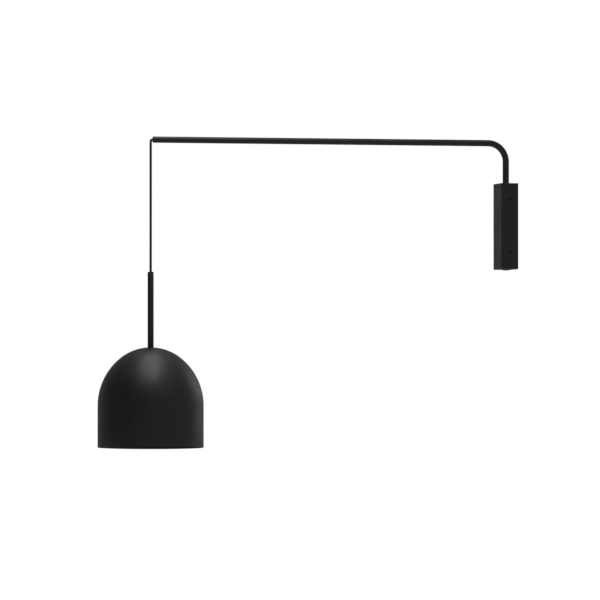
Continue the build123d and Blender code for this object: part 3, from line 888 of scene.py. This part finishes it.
class SCONCE_OT_swivel_lead(bpy.types.Operator):
    """Slack braided lead inside the box, from the tube's side hole to the terminals"""

    bl_idname = "sconce.swivel_lead"
    bl_label = "Swivel lead"

    def execute(self, context):
        cord = settings("cord")
        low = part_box("swivel_lead")[0]
        entry_x, entry_y = middle("lead_cores").xy
        hole = Vector((low[0], SWIVEL.y, LEAD_HOLE_HEIGHT))
        route = (
            tuple(hole),
            (0.0135, SWIVEL.y, LEAD_HOLE_HEIGHT),
            (0.019, SWIVEL.y, 0.0385),
            (0.019, SWIVEL.y, 0.031),
            (entry_x, entry_y, 0.021),
            (entry_x, entry_y, low[2]),
        )
        lead, path = braided_tube("swivel_lead_braid", route, cord, around=48, step=0.0003)
        lead.data.materials.append(braid_yarn("Lead braid", cord.colour))
        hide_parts("swivel_lead")
        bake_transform(lead)
        length = sum((after - before).length for before, after in zip(path, path[1:]))
        return {"FINISHED"}


# Stem and shade


class SCONCE_OT_stem(bpy.types.Operator):
    """Stem with the plug that the cord passes through, and the nipple in its foot"""

    bl_idname = "sconce.stem"
    bl_label = "Stem"

    def execute(self, context):
        metal = settings("metalwork")
        cord_clearance = 0.0001
        outer = radius_of("stem_tube")
        inner = outer - metal.stem_wall
        foot, top = low_z("stem_tube"), high_z("stem_tube")
        bm = turned([(inner, foot), (outer, foot), (outer, top), (inner, top)], bevel=0.00015)
        coat = powder_coat("Stem coat", metal.colour, metal.roughness)
        dress(as_object(bm, "stem_coated"), coat, "pendant", "stem_coat", "stem_tube")
        bore = settings("cord").diameter / 2 + cord_clearance
        plug_foot, plug_top = low_z("stem_plug"), high_z("stem_plug")
        plug = [
            (bore, plug_foot),
            (inner, plug_foot),
            (inner, top),
            (outer, top),
            (outer, plug_top),
            (bore, plug_top),
        ]
        bm = turned(plug, bevel=0.0003, segments=3)
        nylon = moulded("Stem plug nylon", NYLON_BLACK, 0.5, 0.0004)
        dress(as_object(bm, "stem_top_plug"), nylon, "pendant", "black_plastic", "stem_plug")
        coat_nodes(plated("Nipple zinc", ZINC, 0.34), "stem_nipple")
        return {"FINISHED"}


class SCONCE_OT_shade(bpy.types.Operator):
    """Spun bell shade with its round crown, slightly flatter side and straight skirt"""

    bl_idname = "sconce.shade"
    bl_label = "Shade"

    def execute(self, context):
        shade = settings("shade")
        radius = radius_of("shade")
        rim, seat = low_z("shade"), high_z("shade")
        # Two arcs in one smooth line: the side starts upright on the skirt, and the crown, which
        # is centred on the axis, ends at the flat
        crown = radius**2 / shade.rise
        step = radius - crown
        reach = 1 + shade.rise / radius
        offset = step * (reach**2 - 1) / 2
        crown_at = seat - math.sqrt(crown**2 - shade.flat**2)
        turn_at = crown_at - step * reach
        side_angle = math.atan2(2 * reach, reach**2 - 1)
        crown_angle = math.acos(shade.flat / crown) - side_angle
        bm = bmesh.new()
        start = bm.verts.new((radius, DROP.y, turn_at))
        side_centre = (-offset, DROP.y, turn_at)
        crown_centre = (0, DROP.y, crown_at)
        level = Vector((0, -1, 0))
        side = spin_about(bm, side_centre, side_angle, steps=26, axis=level, geom=[start])
        top = spin_about(bm, crown_centre, crown_angle, steps=32, axis=level, geom=side)
        last = [g for g in top if isinstance(g, bmesh.types.BMVert)][0]
        join_up(bm, [last, bm.verts.new((shade.hole, DROP.y, seat))])
        halfway = bm.verts.new((radius, DROP.y, (turn_at + rim) / 2))
        join_up(bm, [start, halfway, bm.verts.new((radius, DROP.y, rim))])
        spin_about(bm, DROP, steps=192)
        clean(bm)
        face_away(bm)
        thicken(bm, shade.wall)
        turning = [e for e in bm.edges if e.calc_face_angle(0.0) > 1.0]
        rims = [e for e in turning if min(v.co.z for v in e.verts) < rim + 0.0001]
        ease_edges(bm, rims, shade.edge_radius, segments=3)
        for face in bm.faces:
            inwards = Vector((0, DROP.y, turn_at)) - face.calc_center_median()
            face.material_index = int(face.normal.dot(inwards) > 0)
        bell = as_object(bm, "bell_shade")
        coat = powder_coat("Shade coat", shade.colour, shade.roughness)
        dress(bell, coat, "pendant", "shade_coat", "shade")
        lining = powder_coat("Shade lining", shade.colour, shade.lining, 0.0009, specular=0.2)
        bell.data.materials.append(lining)
        coat_nodes(plated("Nut zinc", ZINC, 0.34), "shade_washer", "shade_nut")
        return {"FINISHED"}


# Lampholder and bulb


def threaded_sleeve(radius, foot, top, pitch, depth, wall, steps=72, rows=10):
    """A thin sleeve with a rolled Edison thread, made by twisting a strip up its axis."""
    turns = max(1, math.floor((top - foot) / pitch) - 1)
    bm = bmesh.new()
    join_up(bm, [bm.verts.new((radius, 0, pitch * row / rows)) for row in range(rows + 1)])
    bmesh.ops.spin(
        bm,
        geom=bm.verts[:] + bm.edges[:],
        cent=(0, 0, 0),
        axis=UP,
        dvec=(0, 0, pitch / steps),
        angle=FULL_TURN * turns,
        steps=steps * turns,
        use_merge=False,
        use_duplicate=False,
    )
    bmesh.ops.remove_doubles(bm, verts=bm.verts, dist=pitch / rows / 4)
    for vert in bm.verts:
        turn = math.atan2(vert.co.y, vert.co.x) / FULL_TURN
        groove = 0.5 - 0.5 * math.cos(FULL_TURN * (vert.co.z / pitch - turn))
        vert.co.xy *= 1 - depth * groove / radius
    # The ragged ends of the twist are cut off level, half a pitch from each end
    for level, normal in ((0.5 * pitch, -UP), ((turns + 0.5) * pitch, UP)):
        bmesh.ops.bisect_plane(
            bm,
            geom=bm.verts[:] + bm.edges[:] + bm.faces[:],
            plane_co=(0, 0, level),
            plane_no=normal,
            clear_outer=True,
        )
    bmesh.ops.translate(bm, vec=(0, 0, -pitch / 2), verts=bm.verts)
    bmesh.ops.scale(bm, vec=(1, 1, (top - foot) / (turns * pitch)), verts=bm.verts)
    bmesh.ops.translate(bm, vec=(DROP.x, DROP.y, foot), verts=bm.verts)
    clean(bm)
    face_away(bm)
    thicken(bm, wall)
    return bm


class SCONCE_OT_lampholder(bpy.types.Operator):
    """Phenolic lampholder with its ceramic insert, threaded shell and contact"""

    bl_idname = "sconce.lampholder"
    bl_label = "Lampholder"

    def execute(self, context):
        bulb = settings("bulb")
        outer = radius_of("lampholder_cap")
        inner = outer - bulb.holder_wall
        top, joint = high_z("lampholder_cap"), low_z("lampholder_cap")
        foot, spigot = low_z("lampholder_body"), high_z("lampholder_body")
        nipple, nipple_end = radius_of("stem_nipple"), low_z("stem_nipple")
        neck, neck_foot = 0.009, top - 0.004
        slope = outer - neck
        shoulder = neck_foot - slope
        cap = [
            (nipple, top),
            (neck, top),
            (neck, neck_foot),
            (outer, shoulder),
            (outer, shoulder - 0.001),
            (outer, joint + 0.0012),
            (outer, joint),
            (inner, joint),
            (inner, nipple_end - slope),
            (inner - slope, nipple_end),
            (nipple, nipple_end),
        ]
        shell, seat = radius_of("screw_shell"), low_z("lampholder_insert")
        pocket = radius_of("lampholder_insert") + 0.0001
        body = [
            (outer, joint),
            (outer - 0.0002, joint - 0.004),
            (outer - 0.0008, joint - 0.005),
            (outer - 0.0018, foot + 0.003),
            (outer - 0.0015, foot + 0.0024),
            (outer - 0.0015, foot),
            (shell, foot),
            (shell, seat),
            (pocket, seat),
            (pocket, spigot),
            (inner, spigot),
            (inner, joint),
        ]
        bakelite = phenolic("Phenolic", (0.016, 0.0145, 0.014))
        bm = turned(cap, bevel=0.0004, segments=3)
        raise_ribs(bm, joint + 0.0015, shoulder - 0.0012, outer, bulb.rib_height)
        ribbed_cap = as_object(bm, "lampholder_ribbed_cap")
        dress(ribbed_cap, bakelite, "pendant", "bakelite", "lampholder_cap")
        bm = turned(body, bevel=0.0004, segments=3, sharp=25)
        dress(as_object(bm, "lampholder_skirt"), bakelite, "pendant", "bakelite", "lampholder_body")
        low, high = low_z("screw_shell"), high_z("screw_shell")
        pitch, depth = bulb.thread_pitch, bulb.holder_depth
        bm = threaded_sleeve(shell, low, high, pitch, depth, wall=0.0003)
        brass = plated("Thread brass", BRASS, 0.3)
        dress(as_object(bm, "holder_thread"), brass, "pendant", "brass", "screw_shell", sharp=60)
        coat_nodes(brass, "centre_contact")
        coat_nodes(steatite("Steatite", (0.72, 0.70, 0.66)), "lampholder_insert")
        coat_nodes(moulded("Grip nylon", NYLON_WHITE, 0.45, 0.0005), "cord_grip")
        coat_nodes(core_insulation("Lamp leads", middle("lamp_leads")[0], 0.001), "lamp_leads")
        return {"FINISHED"}


class SCONCE_OT_bulb(bpy.types.Operator):
    """Bulb with a rolled Edison cap and an opal globe"""

    bl_idname = "sconce.bulb"
    bl_label = "Bulb"

    def execute(self, context):
        bulb = settings("bulb")
        radius, foot, tip = radius_of("bulb_cap"), low_z("bulb_cap"), high_z("bulb_cap")
        button, cone = 0.0045, 0.011
        cone_top = tip - 0.0015
        cone_foot = cone_top - 0.004
        thread_top = cone_foot - (radius - cone)
        pitch, depth = bulb.thread_pitch, bulb.thread_depth
        bm = threaded_sleeve(radius, foot, thread_top, pitch, depth, wall=0.0004)
        nickel = plated("Cap nickel", (0.6, 0.59, 0.57), 0.28)
        dress(as_object(bm, "bulb_screw_cap"), nickel, "pendant", "nickel", "bulb_cap", sharp=60)
        inset = radius - depth - 0.0003
        crown = [
            (0, tip),
            (button - 0.0007, tip),
            (button, tip - 0.0007),
            (button, cone_top),
            (cone, cone_foot),
            (inset, thread_top),
            (inset, thread_top - 0.0015),
            (0, thread_top - 0.0015),
        ]
        bm = turned(crown, steps=72, closed=False)
        for face in bm.faces:
            face.material_index = int(face.calc_center_median().z > cone_top)
        contact = as_object(bm, "bulb_contact_crown")
        black_glass = phenolic("Black contact glass", (0.012, 0.012, 0.013))
        dress(contact, black_glass, "pendant", "bakelite", "bulb_cap")
        contact.data.materials.append(plated("Contact tin", (0.55, 0.55, 0.54), 0.4))
        coat_nodes(opal("Opal glass", bulb.glass), "bulb_globe")
        return {"FINISHED"}


# Studio


def lamp(name, place, target, size, power, roll=0.0):
    """A soft rectangular lamp that faces a point, turned about its own axis."""
    data = bpy.data.lights.new(name, "AREA")
    data.shape = "RECTANGLE"
    data.size, data.size_y = size
    data.energy = power
    made = bpy.data.objects.new(name, data)
    made.location = place
    facing = (Vector(target) - Vector(place)).to_track_quat("-Z", "Y").to_matrix()
    made.rotation_euler = (facing @ Matrix.Rotation(math.radians(roll), 3, "Z")).to_euler()
    bpy.context.scene.collection.objects.link(made)


class SCONCE_OT_studio(bpy.types.Operator):
    """Camera, lamps, white surroundings and a pale floor"""

    bl_idname = "sconce.studio"
    bl_label = "Studio"

    def execute(self, context):
        studio = settings("studio")
        scene = context.scene
        scene.view_settings.view_transform = "Standard"
        around, above = studio.azimuth, studio.elevation
        level = math.cos(above)
        ahead = Vector((-math.sin(around) * level, math.cos(around) * level, -math.sin(above)))
        self.camera(scene, studio, ahead)
        self.world(scene, studio, ahead)
        over_shade, under_arm = (0.05, -0.68, -0.2), (0, -0.5, -0.15)
        lamp("Top strip", (0.45, -0.78, 1.95), over_shade, (0.27, 2.5), 47.5, roll=-4)
        lamp("Wall side lamp", (-1.5, 2.4, 0.7), under_arm, (1.3, 1.8), 12)
        self.floor(studio)
        return {"FINISHED"}

    def camera(self, scene, studio, ahead):
        """A long lens far away, because the photo shows almost no perspective."""
        data = bpy.data.cameras.new("Camera")
        data.sensor_width = 36.0
        data.lens = data.sensor_width * studio.distance / studio.span
        data.clip_start = 0.1
        data.clip_end = 4 * studio.distance
        camera = bpy.data.objects.new("Camera", data)
        picture_middle = Vector((0, -0.4190, -0.1425))
        camera.location = picture_middle - ahead * studio.distance
        camera.rotation_euler = ahead.to_track_quat("-Z", "Y").to_euler()
        scene.collection.objects.link(camera)
        scene.camera = camera

    def world(self, scene, studio, ahead):
        """Even light and a white backdrop, which is also seen through glass and in reflections.

        Beside the backdrop, reflections show a room that is darker on its left."""
        world = bpy.data.worlds.new("Studio")
        scene.world = world
        world.use_nodes = True
        graph = Graph.of_tree(world.node_tree)
        towards = graph.node("ShaderNodeTexCoord", output="Generated")
        left, right, far = studio.gloss
        forward = graph.along(towards, ahead)
        sideways = graph.along(towards, ahead.cross(UP).normalized())
        near_side = graph.ramp(sideways, left, right, -0.9, 0.7)
        room = graph.ramp(forward, near_side, far, -0.2, 0.9)
        gloss = graph.ramp(forward, room, 1.0, 0.95, 0.985)
        seen, through = graph.ray("Is Camera Ray"), graph.ray("Is Transmission Ray")
        direct = seen.maths("MAXIMUM", seen, through)
        mirrored = graph.ray("Is Glossy Ray")
        strength = direct + (1 - direct) * (mirrored * gloss + (1 - mirrored) * studio.ambient)
        sockets = {"Color": (1, 1, 1, 1), "Strength": strength}
        light = graph.node("ShaderNodeBackground", None, sockets)
        graph.node("ShaderNodeOutputWorld", None, {"Surface": light}, None)

    def floor(self, studio):
        """A round floor that fades to the white of the backdrop, and is open from below."""
        bm = bmesh.new()
        down = Matrix.Translation((0, 0, studio.floor_height))
        bmesh.ops.create_circle(bm, cap_ends=True, segments=96, radius=120.0, matrix=down)
        floor = as_object(bm, "floor")
        graph = Graph("Floor")
        place = graph.place()
        reach = graph.node("ShaderNodeVectorMath", {"operation": "LENGTH"}, {0: place}, "Value")
        fade = graph.ramp(reach, 0.0, 1.0, studio.fade_start, studio.fade_end)
        direct = graph.ray("Is Camera Ray") + graph.ray("Is Transmission Ray")
        worn = scaled(studio.floor_colour, 0.98)
        graph.finish({}, Base_Color=graph.colours(graph.noise(3.0), studio.floor_colour, worn))
        lit = Wire(graph, graph.shader.outputs[0])
        glow = graph.node("ShaderNodeEmission", None, {"Color": (1, 1, 1, 1)})
        top = graph.node("ShaderNodeMixShader", None, {0: fade * direct, 1: lit, 2: glow})
        under = graph.node("ShaderNodeNewGeometry", None, None, "Backfacing")
        clear = graph.node("ShaderNodeBsdfTransparent")
        both = graph.node("ShaderNodeMixShader", None, {0: under, 1: top, 2: clear})
        graph.feed(graph.tree.nodes["Material Output"].inputs["Surface"], both)
        floor.data.materials.append(graph.material)


# Add-on


class SCONCE_PT_panel(bpy.types.Panel):
    """Lists the pieces and their settings"""

    bl_idname = "SCONCE_PT_panel"
    bl_label = "Pendant wall sconce"
    bl_space_type = "VIEW_3D"
    bl_region_type = "UI"
    bl_category = "Sconce"

    def draw(self, context):
        for operator in OPERATORS:
            self.layout.operator(operator.bl_idname)
        for name, group in GROUPS.items():
            box = self.layout.box()
            box.label(text=name.capitalize())
            values = settings(name)
            for key in group.__annotations__:
                box.prop(values, key)


GROUPS = {
    "shade": ShadeSettings,
    "metalwork": MetalworkSettings,
    "cord": CordSettings,
    "bulb": BulbSettings,
    "studio": StudioSettings,
}
OPERATORS = (
    SCONCE_OT_studio,
    SCONCE_OT_cord,
    SCONCE_OT_swivel_lead,
    SCONCE_OT_wall_box,
    SCONCE_OT_box_fittings,
    SCONCE_OT_arm,
    SCONCE_OT_stem,
    SCONCE_OT_shade,
    SCONCE_OT_lampholder,
    SCONCE_OT_bulb,
)
CLASSES = (*GROUPS.values(), *OPERATORS, SCONCE_PT_panel)


def register():
    for made in CLASSES:
        bpy.utils.register_class(made)
    for name, group in GROUPS.items():
        setattr(bpy.types.Scene, "sconce_" + name, bpy.props.PointerProperty(type=group))


def unregister():
    for name in GROUPS:
        delattr(bpy.types.Scene, "sconce_" + name)
    for made in reversed(CLASSES):
        bpy.utils.unregister_class(made)


def main():
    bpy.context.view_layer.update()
    register()
    for operator in OPERATORS:
        group, name = operator.bl_idname.split(".")
        getattr(getattr(bpy.ops, group), name)()


if __name__ == "__main__":
    main()
